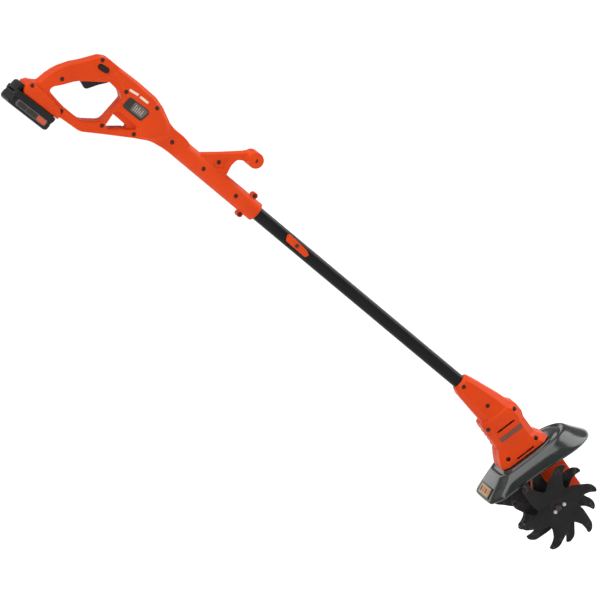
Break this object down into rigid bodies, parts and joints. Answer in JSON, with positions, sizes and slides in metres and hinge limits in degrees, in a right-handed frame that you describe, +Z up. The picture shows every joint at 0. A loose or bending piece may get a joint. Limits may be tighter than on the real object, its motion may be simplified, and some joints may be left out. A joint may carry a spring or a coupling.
{
  "type": "cordless garden tiller",
  "caption": "Cordless garden tiller: looped rear handle with trigger, sloping tube shaft with a front hand hook, motor head, and hooked tine wheels under a guard.",
  "frame": {"origin": "on the tool's middle plane, inside the rear grip where the hand closes", "axes": "+X points forwards, away from the user; +Y to the tool's left; +Z up along the tool from the tines to the handle"},
  "size_m": [0.4804, 0.184, 1.2368],
  "materials": {
    "bare_steel": "machined",
    "black_plastic": "satin moulded",
    "cable_rubber": "cable jacket",
    "cell_wrap": "shrink wrap",
    "circuit_green": "potted circuit board",
    "copper": "wound enamelled wire",
    "grey_plastic": "satin moulded",
    "guard_plastic": "glossy moulded",
    "label_plate": "printed plate",
    "screw_steel": "black oxide",
    "shell_orange": "semi-gloss moulded",
    "tine_steel": "satin powder coat with wear",
    "tube_paint": "semi-gloss powder coat"
  },
  "bodies": {
    "tiller_body": {"control_module": "circuit_green", "gearbox_case_left": "shell_orange", "gearbox_case_right": "shell_orange", "guard": "guard_plastic", "guard_badge": "label_plate", "handle_screw_01": "screw_steel", "handle_screw_02": "screw_steel", "handle_screw_03": "screw_steel", "handle_screw_04": "screw_steel", "handle_screw_05": "screw_steel", "handle_screw_06": "screw_steel", "handle_screw_07": "screw_steel", "handle_screw_08": "screw_steel", "handle_screw_09": "screw_steel", "handle_screw_10": "screw_steel", "handle_screw_11": "screw_steel", "handle_screw_12": "screw_steel", "handle_screw_13": "screw_steel", "handle_screw_14": "screw_steel", "handle_screw_15": "screw_steel", "handle_shell_left": "shell_orange", "handle_shell_right": "shell_orange", "housing_screw_01": "screw_steel", "housing_screw_02": "screw_steel", "housing_screw_03": "screw_steel", "housing_screw_04": "screw_steel", "housing_screw_05": "screw_steel", "housing_screw_06": "screw_steel", "lower_tube": "tube_paint", "motor_cable": "cable_rubber", "motor_can": "bare_steel", "motor_housing_left": "shell_orange", "motor_housing_right": "shell_orange", "rating_label": "label_plate", "terminal_block": "black_plastic", "trigger_switch": "grey_plastic", "tube_clip": "shell_orange", "tube_clip_screw": "screw_steel", "tube_coupler": "bare_steel", "upper_tube": "tube_paint"},
    "battery": {"battery_case": "black_plastic", "battery_cover": "black_plastic", "battery_cells": "cell_wrap", "battery_badge": "label_plate"},
    "battery_latch": {"battery_latch": "black_plastic"},
    "trigger": {"trigger": "black_plastic"},
    "lock_off_button": {"lock_off_button": "black_plastic"},
    "rotor": {"motor_armature": "copper", "cooling_fan": "black_plastic"},
    "crank": {"drive_crank": "bare_steel"},
    "right_tines": {"axle_right": "bare_steel", "inner_tines_right": "tine_steel", "outer_tines_right": "tine_steel", "tine_hub_right": "black_plastic", "axle_nut_right": "screw_steel"},
    "left_tines": {"axle_left": "bare_steel", "inner_tines_left": "tine_steel", "outer_tines_left": "tine_steel", "tine_hub_left": "black_plastic", "axle_nut_left": "screw_steel"}
  },
  "joints": [
    {"name": "trigger_squeeze", "type": "hinge", "parent": "tiller_body", "child": "trigger", "pos_m": [0.0465, 0, -0.0515], "axis": [0, 1, 0], "range_deg": [0, 9], "stiffness_Nm_per_rad": 0.6, "springref_deg": -5.73},
    {"name": "lock_off_slide", "type": "slide", "parent": "tiller_body", "child": "lock_off_button", "axis": [0, 1, 0], "range_m": [-0.003, 0.003], "stiffness_N_per_m": 400},
    {"name": "battery_slide", "type": "slide", "parent": "tiller_body", "child": "battery", "axis": [-0.2723, 0, 0.9622], "range_m": [0, 0.11]},
    {"name": "battery_latch_press", "type": "slide", "parent": "battery", "child": "battery_latch", "axis": [-0.9622, 0, -0.2723], "range_m": [0, 0.003], "stiffness_N_per_m": 800, "springref_m": -0.003},
    {"name": "motor_spin", "type": "hinge", "parent": "tiller_body", "child": "rotor", "pos_m": [0.254, 0, -0.98], "axis": [0, 0, 1], "continuous": true},
    {"name": "crank_spin", "type": "hinge", "parent": "tiller_body", "child": "crank", "pos_m": [0.2765, 0, -1.06], "axis": [0, 0, 1], "continuous": true},
    {"name": "right_tines_swing", "type": "hinge", "parent": "tiller_body", "child": "right_tines", "pos_m": [0.2422, 0, -1.122], "axis": [0, 1, 0], "range_deg": [-8, 8]},
    {"name": "left_tines_swing", "type": "hinge", "parent": "tiller_body", "child": "left_tines", "pos_m": [0.2422, 0, -1.122], "axis": [0, 1, 0], "range_deg": [-8, 8]}
  ],
  "couplings": [
    {"joint": "crank_spin", "follows": "motor_spin", "ratio": -0.25},
    {"joint": "left_tines_swing", "follows": "right_tines_swing", "ratio": -1}
  ]
}
